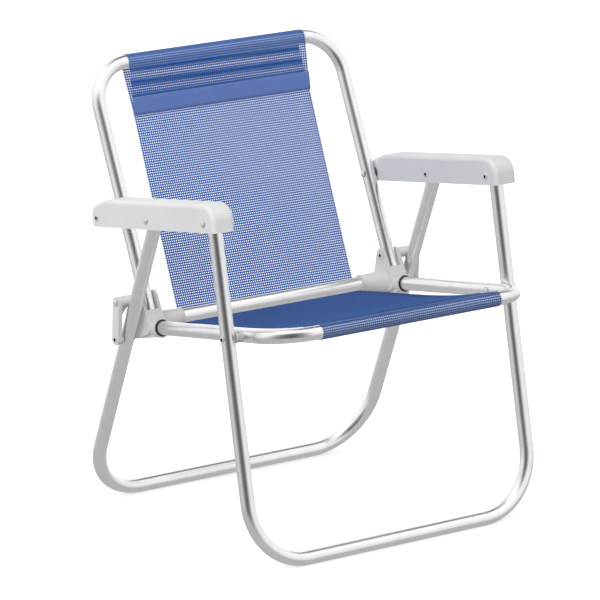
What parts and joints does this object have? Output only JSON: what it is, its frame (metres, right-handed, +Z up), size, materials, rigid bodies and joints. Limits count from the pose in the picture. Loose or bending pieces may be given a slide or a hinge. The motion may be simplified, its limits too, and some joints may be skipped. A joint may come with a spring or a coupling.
{
  "type": "folding beach chair",
  "caption": "Folding beach chair with bent aluminium tube frames, plastic armrests and a blue mesh sling seat.",
  "frame": {"origin": "on the floor, under the middle of the unfolded chair's bounding box", "axes": "+Z up, the chair faces -Y, +X is the sitter's left"},
  "size_m": [0.602, 0.5482, 0.7156],
  "materials": {
    "tube": "satin anodised, fine lengthwise brushing",
    "rivet": "plain",
    "armrest_plastic": "satin white",
    "link_plastic": "satin white",
    "bracket_plastic": "satin off-white",
    "spacer_plastic": "satin grey",
    "dark_plastic": "satin dark grey",
    "mesh": "open woven coated mesh, blue and white"
  },
  "bodies": {
    "rear_leg_body": {"rear_leg": "tube", "link_rivets_inner_half": "rivet"},
    "arm_body": {"armrest_left": "armrest_plastic", "armrest_right": "armrest_plastic", "arm_front_rivets": "rivet", "arm_middle_rivets": "rivet", "arm_rear_rivets": "rivet", "arm_washer_left": "dark_plastic", "arm_washer_right": "dark_plastic"},
    "front_leg_body": {"front_leg": "tube", "seat_rivets_outer_half": "rivet"},
    "back_body": {"back_frame": "tube", "back_sling": "mesh"},
    "seat_body": {"seat_frame": "tube", "cross_tube": "tube", "corner_bracket_left": "bracket_plastic", "corner_bracket_right": "bracket_plastic", "seat_sling": "mesh", "hinge_rivets": "rivet", "seat_spacer_left": "spacer_plastic", "seat_spacer_right": "spacer_plastic", "seat_rivets_inner_half": "rivet"},
    "link_body": {"link_left": "link_plastic", "link_right": "link_plastic", "link_spacer_left": "spacer_plastic", "link_spacer_right": "spacer_plastic", "link_rivets_outer_half": "rivet"}
  },
  "joints": [
    {"name": "seat_fold", "type": "hinge", "parent": "back_body", "child": "seat_body", "pos_m": [0, 0.104, 0.3605], "axis": [-1, 0, 0], "range_deg": [0, 95]},
    {"name": "rear_leg_fold", "type": "hinge", "parent": "rear_leg_body", "child": "arm_body", "pos_m": [0, 0.02685, 0.50869], "axis": [-1, 0, 0], "range_deg": [0, 47.5]},
    {"name": "front_leg_fold", "type": "hinge", "parent": "arm_body", "child": "front_leg_body", "pos_m": [0, -0.1256, 0.53557], "axis": [1, 0, 0], "range_deg": [0, 68.6]},
    {"name": "arm_fold", "type": "hinge", "parent": "arm_body", "child": "back_body", "pos_m": [0, 0.16117, 0.485], "axis": [1, 0, 0], "range_deg": [0, 96.8]},
    {"name": "link_fold", "type": "hinge", "parent": "seat_body", "child": "link_body", "pos_m": [0, 0.104, 0.3605], "axis": [-1, 0, 0], "range_deg": [0, 76]}
  ],
  "couplings": [
    {"joint": "arm_fold", "follows": "seat_fold", "ratio": 1.0162},
    {"joint": "front_leg_fold", "follows": "seat_fold", "ratio": 0.71979},
    {"joint": "rear_leg_fold", "follows": "seat_fold", "ratio": 0.49777},
    {"joint": "link_fold", "follows": "seat_fold", "ratio": 0.79724}
  ]
}
